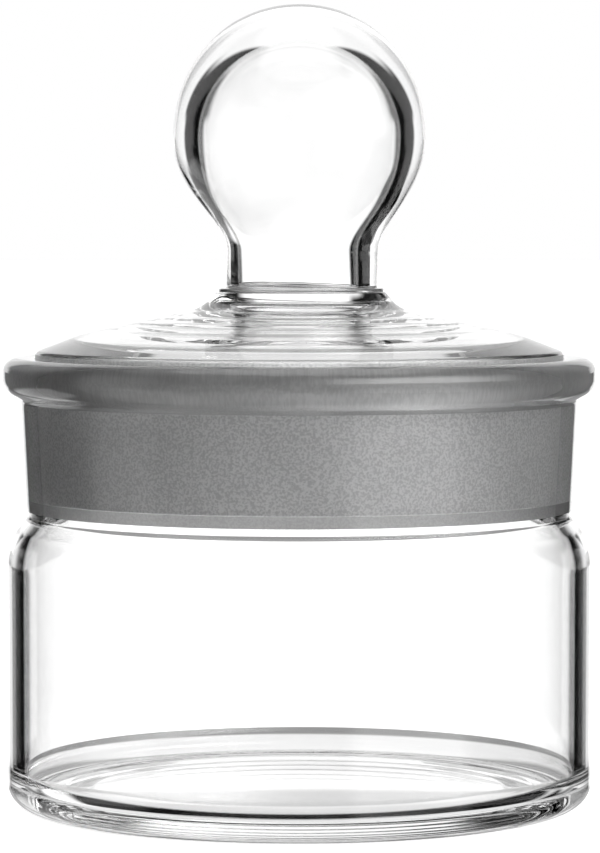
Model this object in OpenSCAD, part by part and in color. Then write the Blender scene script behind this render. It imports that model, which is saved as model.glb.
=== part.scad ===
// Low-form weighing bottle in clear borosilicate glass: a squat bottle with a beaded rim, closed by
// a hollow stopper whose 1:10 ground taper seats in the ground neck. The stopper is a domed lid
// with a hollow blown knob sealed on its crown.
// Millimetres. The origin is the centre of the base, on the surface that the bottle stands on,
// and +Z runs up the axis. Every piece is a body of revolution about Z.

/* [Bottle] */
// Outside diameter of the body
body_d = 50; // [48:0.5:62]
// Height of the bottle, from the foot to the top of the rim
bottle_h = 38.2; // [32:0.1:90]
// Thickness of the side wall and the shoulder
wall = 1.45; // [1.2:0.05:2.2]
// Thickness of the floor over the foot
floor_t = 1.65; // [1.3:0.05:4]
// Outside rounding of the heel
heel_r = 2.2; // [0.8:0.1:4]
// Inside rounding between the floor and the wall
corner_r = 2; // [0.5:0.1:3]
// Width of the flat ring that the bottle stands on
foot_w = 2.6; // [1:0.1:6]
// Depth of the hollow under the base
base_hollow = 0.25; // [0.05:0.05:0.8]
// Radius of the shoulder curve
shoulder_r = 8.4; // [3:0.1:11]
// Slope of the shoulder where it ends at the neck, in degrees from upright
shoulder_slope = 37.8; // [30:0.1:60]

/* [Neck and rim] */
// Thickness of the glass behind the ground face of the neck
neck_wall = 1.42; // [1:0.02:2]
// Rounding of the crease where the neck meets the shoulder
crease_r = 0.6; // [0.2:0.1:1.5]
// Outside diameter of the beaded rim
rim_d = 50.6; // [49.6:0.1:54]
// Radius of the bead
bead_r = 1.7; // [1:0.05:2.2]
// Slope of the underside of the bead, in degrees
bead_slope = 32; // [15:1:50]
// Fire-polished rounding of the mouth
lip_r = 0.35; // [0.1:0.05:0.6]

/* [Ground joint] */
// Diameter of the ground taper at its large end, level with the rim
joint_d = 45; // [43:0.1:45.8]
// Ground length of the stopper
joint_l = 12; // [8:0.5:15]
// Length in which the taper narrows by one unit of diameter
taper = 10; // [8:1:20]
// How far the ground face of the neck runs on below the stopper
joint_run = 1; // [0.4:0.1:2]
// How far the outside crease lies below the ground face
crease_drop = 0.6; // [0.2:0.1:1.5]
// Film of air between the two ground faces
joint_gap = 0.02; // [0.01:0.01:0.05]

/* [Lid] */
// Thickness of the ground skirt
skirt_t = 1.6; // [1:0.05:2.4]
// Thickness of the dome
dome_t = 1.8; // [1.2:0.05:2.4]
// Height of the crown above the rim of the bottle
dome_h = 5.55; // [4.4:0.05:9]
// How far the edge of the dome stands above the rim
edge_proud = 0.5; // [0.2:0.1:1]
// Width of the steep band round the edge of the dome
edge_w = 3.8; // [2:0.1:6]
// Rise of the steep band
edge_rise = 1.45; // [0.8:0.05:2]
// Rounding of the edge of the dome
edge_r = 0.5; // [0.2:0.1:1]
// How far the flare at the foot of the knob runs out
flare_w = 1.2; // [0.8:0.1:2.5]
// How far the flare drops
flare_h = 1.35; // [1:0.05:2]
// Ledge of the crown round the foot of the knob
crown_ledge = 0.75; // [0.5:0.05:1.2]

/* [Knob] */
// Largest outside diameter of the knob
knob_d = 21.5; // [17:0.1:26]
// Height of the knob above the crown
knob_h = 24.55; // [20:0.05:32]
// Rise of the knob from its widest ring to its top
knob_rise = 11.4; // [9:0.1:14]
// Outside diameter of the neck of the knob
knob_neck_d = 12.9; // [10:0.1:15]
// Height of the straight neck of the knob
knob_neck_h = 3.45; // [1.5:0.05:5]
// Thickness of the glass at the widest ring of the knob
knob_t = 1.95; // [1.2:0.05:3]
// Thickness of the glass at the top of the knob
knob_top_t = 3.1; // [1.5:0.1:4]
// Thickness of the glass in the neck of the knob
knob_neck_t = 1.3; // [1:0.05:2]
// Rounding inside the knob where it is sealed to the crown
seal_r = 0.4; // [0.2:0.1:0.8]
// Flat of the crown left outside the bead of glass round the foot of the knob
seal_inset = 0.15; // [0.12:0.01:0.3]
// Height of that bead at its outer edge
seal_bead_h = 0.35; // [0.2:0.05:0.6]

/* [Hidden] */
$fn = 144;

CLEAR_GLASS = [0.82, 0.90, 0.91, 0.45];
GROUND_GLASS = [0.62, 0.65, 0.65, 0.85];

// An arc is drawn in chords that turn by this many degrees.
arc_step = 5;
curve_steps = 18;
// Handles of the curve between the neck and the widest ring of the knob, as shares of its height.
flank_low = 0.27;
flank_high = 0.50;
// Small edges left by the flame at the bottom of the skirt.
skirt_edge_r = 0.3;
crown_edge_r = 0.25;
// Roundings of the bead round the foot of the knob, and how far it dips towards the neck.
seal_bead_r = 0.22;
seal_groove_r = 0.15;
seal_dip = 0.1;
// Roundings of the long curves inside and outside the dome.
flare_r = 6.5;
dome_blend_r = 12;
inner_blend_r = 1;
// Least height of the plain step inside, between the shoulder and the ground face.
ground_step = 0.2;

body_r = body_d / 2;
rim_r = rim_d / 2;
inner_r = body_r - wall;
knob_r = knob_d / 2;
knob_neck_r = knob_neck_d / 2;
bore_r = knob_neck_r - knob_neck_t;
foot_out = body_r - heel_r;
foot_in = foot_out - foot_w;

skirt_z = bottle_h - joint_l;
ground_z = skirt_z - joint_run;
crease_z = ground_z - crease_drop;
crown_z = bottle_h + dome_h;
knob_top_z = crown_z + knob_h;
knob_wide_z = knob_top_z - knob_rise;
knob_waist_z = crown_z + knob_neck_h;

// Radius of the neck's ground face at height z. The stopper's is smaller by the film of air.
function ground_r(z) = joint_d / 2 - (bottle_h - z) / (2 * taper);
function stopper_r(z) = ground_r(z) - joint_gap;
function neck_r(z) = ground_r(z) + neck_wall;

function unit(v) = v / norm(v);
function flat(p) = [p[0], p[1]];
function cross_z(a, b) = a[0] * b[1] - a[1] * b[0];

// Point where the line through p along u meets the line through q along v.
function meet(p, u, q, v) = p + u * cross_z(q - p, v) / cross_z(u, v);

// Arc of an ellipse about [0, z], from angle a to angle b.
function ellipse_arc(z, across, up, a, b) = [
    for (i = [0:curve_steps])
        let (t = a + (b - a) * i / curve_steps)
        [across * cos(t), z + up * sin(t)]
];

// The rounding of radius r at b, between straight stretches from a and to c.
function eased(a, b, c, r) =
    let (bend = turn(a, b, c))
    corner(a, b, c, bend, r * tan(bend / 2));

// Cubic curve from p to s with handles q and r.
function cubic(p, q, r, s) = [
    for (i = [0:curve_steps])
        let (t = i / curve_steps, k = 1 - t)
        k * k * k * p + 3 * k * k * t * q + 3 * k * t * t * r + t * t * t * s
];

// How much the outline turns at corner b, in degrees.
function turn(a, b, c) = acos(max(-1, min(1, unit(b - a) * unit(c - b))));

// Rounds a closed outline. Each corner is [radius from the axis, height, rounding], and two
// roundings that would overlap on the stretch between them are both reduced until they fit.
function rounded(p) =
    let (
        n = len(p),
        at = [for (q = p) flat(q)],
        side = [for (i = [0:n - 1]) norm(at[(i + 1) % n] - at[i])],
        bend = [for (i = [0:n - 1]) turn(at[(i + n - 1) % n], at[i], at[(i + 1) % n])],
        want = [for (i = [0:n - 1]) p[i][2] * tan(min(bend[i], 178) / 2)],
        fit = [for (i = [0:n - 1]) min(1, side[i] / max(want[i] + want[(i + 1) % n], 1e-6))]
    )
    [
        for (i = [0:n - 1])
            each corner(
                at[(i + n - 1) % n], at[i], at[(i + 1) % n], bend[i],
                want[i] * min(fit[i], fit[(i + n - 1) % n]) * 0.999
            )
    ];

// The arc at corner b that starts and ends the given distance from it.
function corner(a, b, c, bend, reach) =
    reach < 0.005 ? [b] :
    let (
        u = unit(a - b),
        v = unit(c - b),
        centre = b + unit(u + v) * reach / cos(90 - bend / 2),
        from = b + u * reach - centre,
        way = cross_z(-u, v) > 0 ? 1 : -1,
        steps = max(2, ceil(bend / arc_step))
    )
    [
        for (i = [0:steps])
            let (t = way * bend * i / steps)
            centre + [from[0] * cos(t) - from[1] * sin(t), from[0] * sin(t) + from[1] * cos(t)]
    ];

// The bottle: floor with a shallow hollow under it, straight wall, rounded shoulder, ground neck
// and a beaded rim that is fire-polished at the mouth.
function bottle_outline() =
    let (
        // The shoulder leaves the wall in a curve and ends on the neck at its slope. It leans
        // inwards to a neck that is narrower than the body, and outwards to a wider one.
        inset = body_r - neck_r(crease_z),
        lean = inset < 0 ? -1 : 1,
        shoulder_z = crease_z - abs(inset) / tan(shoulder_slope),
        inner_shoulder_z = shoulder_z - lean * wall * tan(shoulder_slope / 2),
        inner_rise = abs(inner_r - ground_r(ground_z)) / tan(shoulder_slope),
        inner_crease_z = min(inner_shoulder_z + inner_rise, ground_z - ground_step),
        // The bead is a half round on the outside of the rim, on a sloping underside.
        bead_z = bottle_h - bead_r * (1 + tan((90 - bead_slope) / 2)),
        under_z = bead_z - (rim_r - neck_r(bead_z)) * tan(bead_slope)
    )
    [
        [0, base_hollow, 0],
        [foot_in - foot_w, base_hollow, foot_w],
        [foot_in, 0, foot_w],
        [body_r, 0, heel_r],
        [body_r, shoulder_z, shoulder_r],
        [neck_r(crease_z), crease_z, crease_r],
        [neck_r(under_z), under_z, crease_r],
        [rim_r, bead_z, bead_r],
        [rim_r, bottle_h, bead_r],
        [ground_r(bottle_h), bottle_h, lip_r],
        [ground_r(ground_z), ground_z, 0],
        [ground_r(ground_z), inner_crease_z, inner_blend_r],
        [inner_r, inner_shoulder_z, shoulder_r - wall],
        [inner_r, floor_t, corner_r],
        [0, floor_t, 0],
    ];

// The lid: ground skirt, domed top and flat crown for the knob. The inside of the dome follows
// the outside, up to a flat as wide as the bore of the knob.
function lid_outline() =
    let (
        edge_z = bottle_h + edge_proud,
        crown = [knob_neck_r + crown_ledge, crown_z],
        flare = crown + [flare_w, -flare_h],
        edge = [stopper_r(edge_z), edge_z],
        shelf = edge + [-edge_w, edge_rise],
        foot = [stopper_r(skirt_z), skirt_z],
        down = unit(foot - edge),
        slope = unit(shelf - flare),
        steep = unit(edge - shelf),
        under_flare = flare + dome_t * [slope[1], -slope[0]],
        under_edge = edge + dome_t * [steep[1], -steep[0]],
        inner_shelf = meet(under_flare, slope, under_edge, steep),
        inner_foot = foot - [skirt_t, 0],
        inner_edge = meet(inner_foot, down, under_edge, steep),
        roof = meet(under_flare, slope, [bore_r, 0], [0, 1])
    )
    [
        [0, crown_z, 0],
        [crown[0], crown[1], crown_edge_r],
        [flare[0], flare[1], flare_r],
        [shelf[0], shelf[1], dome_blend_r],
        [edge[0], edge[1], edge_r],
        [foot[0], foot[1], skirt_edge_r],
        [inner_foot[0], inner_foot[1], skirt_edge_r],
        [inner_edge[0], inner_edge[1], inner_blend_r],
        [inner_shelf[0], inner_shelf[1], dome_blend_r],
        [roof[0], roof[1], flare_r],
        [0, roof[1], 0],
    ];

// One side of the knob's bulb: up from the waist to the widest ring and over to the top.
function bulb(waist_r, wide_r, rise) =
    let (span = knob_wide_z - knob_waist_z)
    [
        each cubic(
            [waist_r, knob_waist_z],
            [waist_r, knob_waist_z + flank_low * span],
            [wide_r, knob_wide_z - flank_high * span],
            [wide_r, knob_wide_z]
        ),
        each [for (q = ellipse_arc(knob_wide_z, wide_r, rise, 0, 90)) if (q[1] > knob_wide_z) q],
    ];

// The knob: a hollow bulb, open at the foot of its neck, where it is sealed to the crown inside
// a small bead of glass.
function knob_outline() =
    let (
        outside = bulb(knob_neck_r, knob_r, knob_rise),
        inside = bulb(bore_r, knob_r - knob_t, knob_rise - knob_top_t),
        last = len(inside) - 1,
        bead_foot = [knob_neck_r + crown_ledge - seal_inset, crown_z],
        bead_top = bead_foot + [0, seal_bead_h],
        groove = [knob_neck_r, bead_top[1] - seal_dip],
        waist = [knob_neck_r, knob_waist_z]
    )
    [
        bead_foot,
        each eased(bead_foot, bead_top, groove, seal_bead_r),
        each eased(bead_top, groove, waist, seal_groove_r),
        each outside,
        each [for (i = [0:last]) inside[last - i]],
        each eased([bore_r, knob_waist_z], [bore_r, crown_z], [0, crown_z], seal_r),
    ];

module turned(outline) {
    rotate_extrude() polygon(outline);
}

module bottle() {
    color(CLEAR_GLASS) turned(rounded(bottle_outline()));
}

module lid() {
    color(GROUND_GLASS) turned(rounded(lid_outline()));
}

module knob() {
    color(CLEAR_GLASS) turned(knob_outline());
}

bottle();
lid();
knob();
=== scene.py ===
"""A low-form weighing bottle in clear glass with its ground stopper, on a white table."""
import math

import bpy
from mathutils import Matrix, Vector


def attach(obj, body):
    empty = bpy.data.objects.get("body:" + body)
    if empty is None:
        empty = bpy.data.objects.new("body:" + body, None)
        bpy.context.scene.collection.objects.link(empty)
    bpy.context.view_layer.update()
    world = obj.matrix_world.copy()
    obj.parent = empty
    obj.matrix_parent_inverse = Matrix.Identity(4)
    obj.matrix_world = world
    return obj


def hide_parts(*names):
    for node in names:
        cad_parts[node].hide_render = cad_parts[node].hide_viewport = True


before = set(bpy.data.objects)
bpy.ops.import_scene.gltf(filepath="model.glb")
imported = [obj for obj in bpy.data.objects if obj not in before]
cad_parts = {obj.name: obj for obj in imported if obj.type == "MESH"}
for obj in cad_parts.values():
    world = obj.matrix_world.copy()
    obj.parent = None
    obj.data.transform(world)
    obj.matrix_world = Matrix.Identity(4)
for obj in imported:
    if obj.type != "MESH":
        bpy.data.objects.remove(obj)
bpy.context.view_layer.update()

MM = 0.001
TURN_STEPS = 288

# Sizes of the glass, in millimetres. KNOB_T, KNOB_TOP_T and UNDER_EDGE are not those of the solids.
BODY_R = 25.0
WALL = 1.45
FLOOR_TOP = 1.65
FLOOR_CORNER = 2.0
FOOT_HOLLOW = 0.25
FOOT_HOLLOW_R = 17.6
FOOT_R = 20.2
FOOT_ROUND = 2.6
HEEL = 2.2
SHOULDER_SLOPE = 37.8
SHOULDER_ROUND = 7.8
INNER_SHOULDER_ROUND = 6.1
NECK_WALL = 1.42
NECK_ROUND = 0.6

RIM_Z = 38.2
RIM_R = 25.3
BEAD_ROUND = 1.7
BEAD_DROP = 29
BEAD_UNDER_SLOPE = 32
MOUTH_ROUND = 0.35

# The ground joint: 45 mm across level with the rim, 1:10 on the diameter, 12 mm long.
JOINT_R = 22.5
JOINT_LENGTH = 12.0
TAPER = 0.05
JOINT_GAP = 0.02
SKIRT_Z = RIM_Z - JOINT_LENGTH
# The grinding goes on a little below the skirt, and the crease outside the neck is lower still.
GROUND_Z = SKIRT_Z - 1.0
CREASE_Z = GROUND_Z - 0.6
# Above this the ground face is seen through the bead.
MOUTH_Z = RIM_Z - 3.8

# The lid: its shelf lies in from its edge, its flare out from its crown.
SKIRT_WALL = 1.6
SKIRT_ROUND = 0.3
EDGE_Z = RIM_Z + 0.5
EDGE_ROUND = 0.5
CROWN_Z = 43.75
CROWN_R = 7.2
CROWN_ROUND = 0.25
CROWN_UNDER_Z = 41.28
SHELF = Vector((-3.8, 1.45))
SHELF_ROUND = 12
FLARE = Vector((1.2, -1.35))
FLARE_ROUND = 6.5
UNDER_EDGE = Vector((19.13, 38.02))
UNDER_DOME = Vector((17.9, 38.5))

# The knob and the small bead that seals it to the crown.
SEAL_R = 7.05
SEAL_H = 0.35
KNOB_NECK_R = 6.45
KNOB_BORE_R = 5.15
KNOB_R = 10.75
KNOB_WAIST_Z = 47.2
KNOB_WIDE_Z = 56.9
KNOB_RISE = 11.4
KNOB_T = 2.1
KNOB_TOP_T = 2.75

# The knob's neck leans a little towards +X, most of all between these heights.
LEAN = 0.3
LEAN_LOW_Z = 47.0
LEAN_HIGH_Z = 48.5
LEAN_MIN_R = 6.0
LEAN_REACH = 8

# The low rings on the dome and under it.
RINGS_IN_R = 7.6
RINGS_OUT_R = 18.6
RINGS_SPAN = 10.8
RINGS_MIN_Z = 38.3
RING_HEIGHT = 0.02
RING_STEP = 0.3

GLASS_IOR = 1.473

# The surround that the glass bends into view, as soft-edged patches: bearing of the middle from +Y
# towards +X, sine of the half-width and its softness, lowest z and its softness, highest z and its
# softness, light.
CARD = 0.004
PATCHES = (
    (0, 0.5, 0.055, -0.9, 0.012, -0.45, 0.04, 0.8),
    (0, 0.33, 0.055, -0.45, 0.04, -0.32, 0.03, 1.0),
    (0, 0.33, 0.055, -0.32, 0.03, -0.165, 0.012, 0.36),
    (0, 0.345, 0.035, -0.165, 0.012, 0.01, 0.012, 1.4),
    (0, 0.45, 0.055, 0.01, 0.012, 0.12, 0.04, 1.15),
    (0, 0.38, 0.055, 0.12, 0.04, 0.45, 0.1, 1.1),
    (0, 0.5, 0.055, 0.45, 0.1, 0.88, 0.03, 1.0),
    (-102, 0.27, 0.1, -0.3, 0.03, 0.5, 0.1, 0.7),
    (-45, 0.37, 0.055, -0.6, 0.03, -0.25, 0.05, 1.1),
    (135, 0.4, 0.08, -0.36, 0.03, -0.02, 0.06, 1.1),
    (132, 0.5, 0.35, 0.02, 0.08, 0.6, 0.2, 6.5),
)
CEILING_LIGHT = 1.1


def ground_r(z):
    """Radius of the neck's ground face at height z."""
    return JOINT_R - (RIM_Z - z) * TAPER


def stopper_r(z):
    """Radius of the skirt's ground face at height z."""
    return ground_r(z) - JOINT_GAP


def select_only(*pieces):
    """Back to Object Mode with only these pieces selected, the last of them active."""
    if bpy.context.object and bpy.context.object.mode != "OBJECT":
        bpy.ops.object.mode_set(mode="OBJECT")
    bpy.ops.object.select_all(action="DESELECT")
    for piece in pieces:
        piece.select_set(True)
        bpy.context.view_layer.objects.active = piece


def fillet(before, at, after, radius):
    """Points of the rounding at one corner of an outline, in small steps where it is wide. It takes
    less than half of either side, so the shoulder and the bead come out tighter than in the solids."""
    u = (before - at).normalized()
    v = (after - at).normalized()
    bend = math.pi - u.angle(v)
    reach = radius * math.tan(bend / 2)
    if reach < 0.004:
        return [at]
    reach = min(reach, 0.499 * (before - at).length, 0.499 * (after - at).length)
    radius = reach / math.tan(bend / 2)
    centre = at + (u + v).normalized() * radius / math.cos(bend / 2)
    start = at + u * reach - centre
    side = 1 if (-u.x * v.y + u.y * v.x) > 0 else -1
    steps = max(3, math.ceil(math.degrees(bend) / (3 if radius > 0.45 else 8)))
    turned = []
    for i in range(steps + 1):
        a = side * bend * i / steps
        turned.append(centre + Vector((start.x * math.cos(a) - start.y * math.sin(a),
                                       start.x * math.sin(a) + start.y * math.cos(a))))
    return turned


def outline(corners):
    """An open outline from corners of (radius, height, rounding)."""
    at = [Vector(c[:2]) for c in corners]
    points = [at[0]]
    for i in range(1, len(corners) - 1):
        points += fillet(at[i - 1], at[i], at[i + 1], corners[i][2])
    return points + [at[-1]]


def flank(waist_r, wide_r, steps=28):
    """The side of the blown bulb, from its waist out to its widest ring."""
    span = KNOB_WIDE_Z - KNOB_WAIST_Z
    p = [Vector((waist_r, KNOB_WAIST_Z)), Vector((waist_r, KNOB_WAIST_Z + 0.27 * span)),
         Vector((wide_r, KNOB_WIDE_Z - 0.5 * span)), Vector((wide_r, KNOB_WIDE_Z))]
    side = []
    for i in range(steps + 1):
        t = i / steps
        k = 1 - t
        side.append(k ** 3 * p[0] + 3 * k * k * t * p[1] + 3 * k * t * t * p[2] + t ** 3 * p[3])
    return side


def cap(wide_r, rise, steps=36):
    """The top of the bulb, from its widest ring to the axis."""
    over = []
    for i in range(1, steps + 1):
        a = math.pi / 2 * i / steps
        over.append(Vector((wide_r * math.cos(a), KNOB_WIDE_Z + rise * math.sin(a))))
    over[-1].x = 0
    return over


def ripple(points):
    """Low rings left by the flame on the dome and under it, in an outline with finer steps there."""
    fine = [points[0]]
    for a, b in zip(points, points[1:]):
        steps = 1
        if a.x != b.x and RINGS_IN_R - 0.1 < min(a.x, b.x) and max(a.x, b.x) < RINGS_OUT_R + 0.8:
            steps = max(1, math.ceil((b - a).length / RING_STEP))
        fine += [a.lerp(b, i / steps) for i in range(1, steps + 1)]
    for p in fine:
        if RINGS_IN_R < p.x < RINGS_OUT_R and p.y > RINGS_MIN_Z:
            # The rings fade out at both ends, and two waves of unlike length keep them uneven.
            height = RING_HEIGHT * math.sin((p.x - RINGS_IN_R) / RINGS_SPAN * math.pi)
            wave = math.sin(p.x * 3.3 + 0.6 * math.sin(p.x * 0.9)) + 0.5 * math.sin(p.x * 5.9 + 1.0)
            p.y += height * wave
    return fine


def draw_section(name, points):
    """Half a section, drawn from one point by extruding it from place to place. Stays in Edit Mode."""
    select_only()
    first = points[0]
    bpy.ops.mesh.primitive_plane_add(size=MM, location=(first.x * MM, 0, first.y * MM))
    piece = bpy.context.object
    piece.name = name
    bpy.ops.object.transform_apply(location=True, rotation=False, scale=False)
    bpy.ops.object.mode_set(mode="EDIT")
    bpy.ops.mesh.select_mode(type="VERT")
    bpy.ops.mesh.select_all(action="SELECT")
    bpy.ops.mesh.merge(type="CENTER")
    for a, b in zip(points, points[1:]):
        bpy.ops.mesh.extrude_region_move(
            TRANSFORM_OT_translate={"value": ((b.x - a.x) * MM, 0, (b.y - a.y) * MM)})
    return piece


def turn_round(piece):
    """Spins the section in Edit Mode round the axis into closed glass with its faces outwards."""
    bpy.ops.mesh.select_all(action="SELECT")
    bpy.ops.mesh.spin(steps=TURN_STEPS, angle=2 * math.pi, center=(0, 0, 0), axis=(0, 0, 1))
    bpy.ops.mesh.select_all(action="SELECT")
    bpy.ops.mesh.remove_doubles(threshold=0.0005 * MM)
    bpy.ops.mesh.normals_make_consistent(inside=False)
    bpy.ops.object.mode_set(mode="OBJECT")
    bpy.ops.object.shade_smooth_by_angle(angle=math.radians(35))
    return piece


def lean(piece, wanted, across, reach):
    """Pushes part of the glass a little aside, and the glass near it follows."""
    select_only(piece)
    bpy.ops.object.mode_set(mode="EDIT")
    bpy.ops.mesh.select_mode(type="VERT")
    bpy.ops.mesh.select_all(action="DESELECT")
    bpy.ops.object.mode_set(mode="OBJECT")
    for point in piece.data.vertices:
        at = point.co / MM
        point.select = wanted(math.hypot(at.x, at.y), at.z)
    bpy.ops.object.mode_set(mode="EDIT")
    bpy.ops.transform.translate(value=(across * MM, 0, 0), use_proportional_edit=True,
                                proportional_edit_falloff="SMOOTH", proportional_size=reach * MM,
                                use_proportional_connected=True)
    bpy.ops.object.mode_set(mode="OBJECT")


def make_bottle():
    """Body, shoulder, neck and bead in one piece. The inside follows the outside."""
    inset = BODY_R - ground_r(CREASE_Z) - NECK_WALL
    slope = math.tan(math.radians(SHOULDER_SLOPE))
    shoulder_z = CREASE_Z - inset / slope
    inner_r = BODY_R - WALL
    inner_shoulder_z = shoulder_z - WALL * math.tan(math.radians(SHOULDER_SLOPE / 2))
    inner_crease_z = inner_shoulder_z + (inner_r - ground_r(GROUND_Z)) / slope
    bead_z = RIM_Z - BEAD_ROUND * (1 + math.tan(math.radians(BEAD_DROP)))
    bead_depth = RIM_R - ground_r(bead_z) - NECK_WALL
    under_z = bead_z - bead_depth * math.tan(math.radians(BEAD_UNDER_SLOPE))
    section = outline([
        (0, FOOT_HOLLOW, 0),
        (FOOT_HOLLOW_R, FOOT_HOLLOW, FOOT_ROUND),
        (FOOT_R, 0, FOOT_ROUND),
        (BODY_R, 0, HEEL),
        (BODY_R, shoulder_z, SHOULDER_ROUND),
        (ground_r(CREASE_Z) + NECK_WALL, CREASE_Z, NECK_ROUND),
        (ground_r(under_z) + NECK_WALL, under_z, NECK_ROUND),
        (RIM_R, bead_z, BEAD_ROUND),
        (RIM_R, RIM_Z, BEAD_ROUND),
        (ground_r(RIM_Z), RIM_Z, MOUTH_ROUND),
        (ground_r(MOUTH_Z), MOUTH_Z, 0),
        (ground_r(SKIRT_Z), SKIRT_Z, 0),
        (ground_r(GROUND_Z), GROUND_Z, 0),
        (ground_r(GROUND_Z), inner_crease_z, 1.0),
        (inner_r, inner_shoulder_z, INNER_SHOULDER_ROUND),
        (inner_r, FLOOR_TOP, FLOOR_CORNER),
        (0, FLOOR_TOP, 0),
    ])
    return turn_round(draw_section("bottle_glass", section))


def make_stopper():
    """Lid and knob in one piece, with the knob's hollow as an inner skin that faces inwards."""
    edge = Vector((stopper_r(EDGE_Z), EDGE_Z))
    crown = Vector((CROWN_R, CROWN_Z))
    flare = crown + FLARE
    shelf = edge + SHELF
    foot = Vector((stopper_r(SKIRT_Z), SKIRT_Z))
    outside = cap(KNOB_R, KNOB_RISE)[::-1] + flank(KNOB_NECK_R, KNOB_R)[::-1]
    lid = outline([
        (KNOB_NECK_R, KNOB_WAIST_Z, 0),
        (KNOB_NECK_R, CROWN_Z + SEAL_H - 0.1, 0.15),
        (SEAL_R, CROWN_Z + SEAL_H, 0.22),
        (SEAL_R, CROWN_Z, 0.05),
        (crown.x, crown.y, CROWN_ROUND),
        (flare.x, flare.y, FLARE_ROUND),
        (shelf.x, shelf.y, SHELF_ROUND),
        (edge.x, edge.y, EDGE_ROUND),
        (foot.x, foot.y, SKIRT_ROUND),
        (foot.x - SKIRT_WALL, foot.y, SKIRT_ROUND),
        (UNDER_EDGE.x, UNDER_EDGE.y, 1.0),
        (UNDER_DOME.x, UNDER_DOME.y, SHELF_ROUND),
        (KNOB_BORE_R, CROWN_UNDER_Z, FLARE_ROUND),
        (0, CROWN_UNDER_Z, 0),
    ])
    stopper = turn_round(draw_section("stopper_glass", outside + ripple(lid[1:])))
    cavity = outline([
        (0, CROWN_Z, 0),
        (KNOB_BORE_R, CROWN_Z, 0.4),
        (KNOB_BORE_R, KNOB_WAIST_Z, 0),
    ]) + flank(KNOB_BORE_R, KNOB_R - KNOB_T)[1:] + cap(KNOB_R - KNOB_T, KNOB_RISE - KNOB_TOP_T)
    hollow = turn_round(draw_section("knob_cavity", cavity))
    bpy.ops.object.mode_set(mode="EDIT")
    bpy.ops.mesh.select_all(action="SELECT")
    bpy.ops.mesh.flip_normals()
    select_only(hollow, stopper)
    bpy.ops.object.join()
    lean(stopper, lambda r, z: LEAN_LOW_Z < z < LEAN_HIGH_Z and r > LEAN_MIN_R, LEAN, LEAN_REACH)
    return stopper


def node(tree, kind, **values):
    """A new node with its settings and inputs, an input's blanks written as underscores."""
    made = tree.nodes.new(kind)
    for key, value in values.items():
        if hasattr(made, key):
            setattr(made, key, value)
        else:
            made.inputs[key.replace("_", " ")].default_value = value
    return made


def wired(tree, step, values):
    """Gives a node's inputs their values, sockets or plain numbers, and returns its first output."""
    for socket, value in zip(step.inputs, values):
        if isinstance(value, bpy.types.NodeSocket):
            tree.links.new(value, socket)
        else:
            socket.default_value = value
    return step.outputs[0]


def working(tree, operation, *values):
    """One step of arithmetic."""
    return wired(tree, node(tree, "ShaderNodeMath", operation=operation), values)


def fade(tree, value, low, high, start=0.0, end=1.0):
    """Goes smoothly from start to end while the value goes from low to high."""
    step = node(tree, "ShaderNodeMapRange", interpolation_type="SMOOTHSTEP")
    return wired(tree, step, (value, low, high, start, end))


def shader(name):
    """A new material with its node tree and its Principled shader."""
    finish = bpy.data.materials.new(name)
    finish.use_nodes = True
    tree = finish.node_tree
    return finish, tree, tree.nodes["Principled BSDF"]


def clear_glass():
    """Clear borosilicate glass."""
    finish, tree, face = shader("clear_glass")
    face.inputs["Base Color"].default_value = (1, 1, 1, 1)
    face.inputs["Transmission Weight"].default_value = 1
    face.inputs["Roughness"].default_value = 0
    face.inputs["IOR"].default_value = GLASS_IOR
    return finish


def ground_glass(name, tone_and_painted_shade, grain_depth):
    """A ground face: fine matt grain, a little uneven from the grinding. Its tone is the ground glass's
    own, and painted shade in the darker copies.
    """
    finish, tree, face = shader(name)
    face.inputs["Transmission Weight"].default_value = 0.7
    face.inputs["IOR"].default_value = GLASS_IOR
    where = node(tree, "ShaderNodeTexCoord")
    grain = node(tree, "ShaderNodeTexNoise", Scale=5200, Detail=1, Roughness=0.5)
    cloud = node(tree, "ShaderNodeTexNoise", Scale=160, Detail=2, Roughness=0.5)
    for texture in (grain, cloud):
        tree.links.new(where.outputs["Object"], texture.inputs["Vector"])
    speckle = fade(tree, grain.outputs["Fac"], 0.38, 0.62, (1 - grain_depth) * tone_and_painted_shade, tone_and_painted_shade)
    shade = working(tree, "MULTIPLY", speckle, fade(tree, cloud.outputs["Fac"], 0.3, 0.7, 0.93, 1.0))
    tree.links.new(shade, face.inputs["Base Color"])
    face.inputs["Roughness"].default_value = 0.35
    return finish


def finish_faces(piece, finish, wanted):
    """Gives a finish to the faces whose centre is wanted, by its radius and height."""
    piece.data.materials.append(finish)
    select_only(piece)
    bpy.ops.object.mode_set(mode="EDIT")
    bpy.ops.mesh.select_mode(type="FACE")
    bpy.ops.mesh.select_all(action="DESELECT")
    bpy.ops.object.mode_set(mode="OBJECT")
    for face in piece.data.polygons:
        c = face.center / MM
        face.select = wanted(math.hypot(c.x, c.y), c.z)
    bpy.ops.object.mode_set(mode="EDIT")
    piece.active_material_index = len(piece.data.materials) - 1
    bpy.ops.object.material_slot_assign()
    bpy.ops.object.mode_set(mode="OBJECT")


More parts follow.
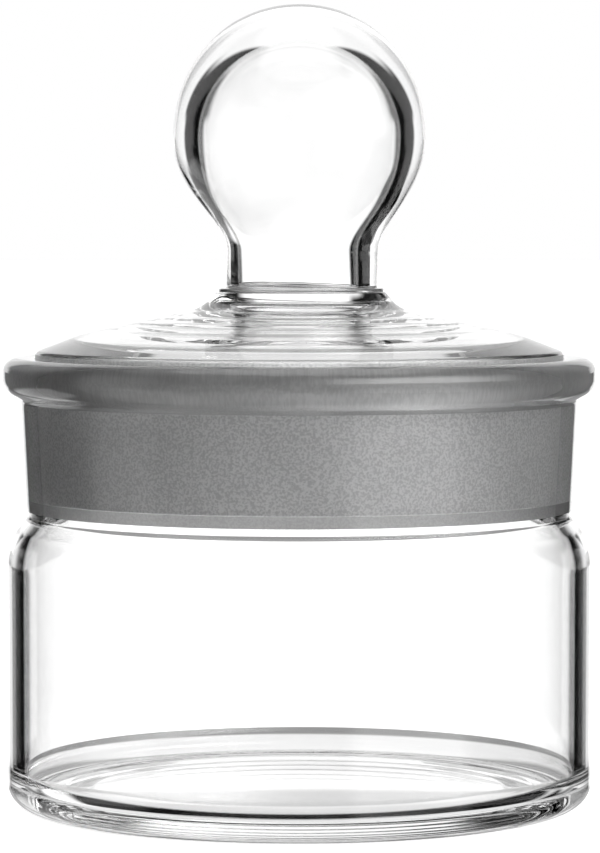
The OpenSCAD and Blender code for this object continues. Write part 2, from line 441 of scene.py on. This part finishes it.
def make_table():
    """The white table. It shows the camera its colour and the shadow; glass looks past it."""
    select_only()
    bpy.ops.mesh.primitive_plane_add(size=8, location=(0, 0, 0))
    table = bpy.context.object
    table.name = "table"
    finish, tree, face = shader("white_table")
    face.inputs["Base Color"].default_value = (0.9, 0.9, 0.9, 1)
    face.inputs["Roughness"].default_value = 0.9
    ray = node(tree, "ShaderNodeLightPath")
    through = working(tree, "MAXIMUM", ray.outputs["Is Glossy Ray"], ray.outputs["Is Transmission Ray"])
    glow = node(tree, "ShaderNodeEmission", Strength=0.75)
    lit = node(tree, "ShaderNodeAddShader")
    nothing = node(tree, "ShaderNodeBsdfTransparent")
    seen = node(tree, "ShaderNodeMixShader")
    passed = node(tree, "ShaderNodeMixShader")
    tree.links.new(glow.outputs[0], lit.inputs[0])
    tree.links.new(face.outputs[0], lit.inputs[1])
    tree.links.new(ray.outputs["Is Camera Ray"], seen.inputs[0])
    tree.links.new(face.outputs[0], seen.inputs[1])
    tree.links.new(lit.outputs[0], seen.inputs[2])
    tree.links.new(through, passed.inputs[0])
    tree.links.new(seen.outputs[0], passed.inputs[1])
    tree.links.new(nothing.outputs[0], passed.inputs[2])
    tree.links.new(passed.outputs[0], tree.nodes["Material Output"].inputs[0])
    table.data.materials.append(finish)


def patch_of(tree, across, ahead, z, half, side_soft, low, low_soft, high, high_soft):
    """1 inside a soft-edged patch of the surround that lies ahead between two heights."""
    past = working(tree, "SUBTRACT", working(tree, "ABSOLUTE", across), half)
    sides = fade(tree, past, -side_soft, side_soft, 1, 0)
    front = fade(tree, ahead, 0.1, 0.3)
    bottom = fade(tree, z, low - low_soft, low + low_soft)
    top = fade(tree, z, high - high_soft, high + high_soft, 1, 0)
    return working(tree, "MULTIPLY", working(tree, "MULTIPLY", sides, front),
                   working(tree, "MULTIPLY", bottom, top))


def turned(tree, x, y, degrees):
    """The level direction (x, y) as (across, ahead) of a patch at this bearing from +Y."""
    c = math.cos(math.radians(degrees))
    s = math.sin(math.radians(degrees))
    across = working(tree, "ADD", working(tree, "MULTIPLY", x, c), working(tree, "MULTIPLY", y, -s))
    ahead = working(tree, "ADD", working(tree, "MULTIPLY", x, s), working(tree, "MULTIPLY", y, c))
    return across, ahead


def make_surround():
    """White all round for the camera and plain soft light for the table. What the glass bends or
    mirrors finds white patches and a white ceiling between black cards."""
    world = bpy.data.worlds.new("studio")
    bpy.context.scene.world = world
    world.use_nodes = True
    tree = world.node_tree
    tree.nodes.clear()
    where = node(tree, "ShaderNodeTexCoord")
    split = node(tree, "ShaderNodeSeparateXYZ")
    tree.links.new(where.outputs["Generated"], split.inputs[0])
    x, y, z = split.outputs
    # A little over 1, so that straight up and down nothing is divided by zero.
    level = working(tree, "SQRT", working(tree, "SUBTRACT", 1.0001, working(tree, "MULTIPLY", z, z)))
    x = working(tree, "DIVIDE", x, level)
    y = working(tree, "DIVIDE", y, level)
    bright = fade(tree, z, 0.85, 0.92, CARD, CEILING_LIGHT)
    for bearing, *shape, light in PATCHES:
        across, ahead = turned(tree, x, y, bearing)
        patch = working(tree, "MULTIPLY", patch_of(tree, across, ahead, z, *shape), light)
        bright = working(tree, "ADD", bright, patch)
    cards = node(tree, "ShaderNodeBackground", Color=(1, 1, 1, 1))
    tree.links.new(bright, cards.inputs["Strength"])
    soft = node(tree, "ShaderNodeBackground", Color=(1, 1, 1, 1), Strength=0.5)
    white = node(tree, "ShaderNodeBackground", Color=(1, 1, 1, 1), Strength=1.0)
    ray = node(tree, "ShaderNodeLightPath")
    shown = soft.outputs[0]
    for kind, light in (("Is Camera Ray", white), ("Is Glossy Ray", cards),
                        ("Is Transmission Ray", cards)):
        choice = node(tree, "ShaderNodeMixShader")
        tree.links.new(ray.outputs[kind], choice.inputs[0])
        tree.links.new(shown, choice.inputs[1])
        tree.links.new(light.outputs[0], choice.inputs[2])
        shown = choice.outputs[0]
    tree.links.new(shown, node(tree, "ShaderNodeOutputWorld").inputs[0])


def add_lamp(name, place, size, watts):
    """A soft lamp aimed at the middle of the object. The glass doesn't mirror it."""
    bpy.ops.object.light_add(type="AREA", location=place)
    lamp = bpy.context.object
    lamp.name = name
    lamp.data.size = size
    lamp.data.energy = watts
    lamp.visible_glossy = False
    lamp.visible_transmission = False
    aim = Vector((0, 0, 0.03)) - Vector(place)
    lamp.rotation_euler = aim.to_track_quat("-Z", "Y").to_euler()


def set_camera():
    """The photo's point of view: 341 mm in front of the axis, looking down a little."""
    eye = Vector((0.00006, -0.341, 0.0503))
    pitch = math.radians(3.03)
    bpy.ops.object.camera_add(location=eye, rotation=(math.pi / 2 - pitch, 0, 0))
    camera = bpy.context.object
    camera.name = "camera"
    camera.data.lens = 168.8
    camera.data.sensor_width = 36
    camera.data.sensor_fit = "AUTO"
    camera.data.clip_start = 0.01
    camera.data.clip_end = 20
    bpy.context.scene.camera = camera


set_camera()
clear = clear_glass()
ground = ground_glass("ground_glass", 0.94, 0.3)
# Painted shade: the neck's ground face below the skirt gets a much darker copy of the ground glass.
step = ground_glass("ground_step", 0.24, 0.2)
# Painted shade: the ground face seen through the bead gets a darker copy of the ground glass.
painted_shade_behind_bead = ground_glass("ground_painted_shade_mouth", 0.45, 0.16)

bottle = make_bottle()
bottle.data.materials.append(clear)
# The ground glass keeps its own tone; the darker copies below the skirt and behind the bead are painted
# shade.
for finish, low, high in ((ground, SKIRT_Z, MOUTH_Z), (step, GROUND_Z, SKIRT_Z),
                          (painted_shade_behind_bead, MOUTH_Z, RIM_Z - 0.1)):
    finish_faces(bottle, finish, lambda r, z: low < z < high and r < ground_r(z) + 0.1)
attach(bottle, "bottle")
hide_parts("bottle")

stopper = make_stopper()
stopper.data.materials.append(clear)
finish_faces(stopper, ground, lambda r, z: SKIRT_Z - 0.1 < z < RIM_Z + 0.3 and r > stopper_r(z) - 0.3)
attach(stopper, "stopper")
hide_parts("lid", "knob")

make_table()
make_surround()
add_lamp("lamp_left", (-0.5, -0.35, 0.55), 0.4, 2.0)
add_lamp("lamp_right", (0.45, -0.5, 0.35), 0.4, 5.0)
bpy.context.scene.view_settings.view_transform = "Standard"
rays = bpy.context.scene.cycles
rays.max_bounces = 32
rays.transmission_bounces = 32
rays.glossy_bounces = 16
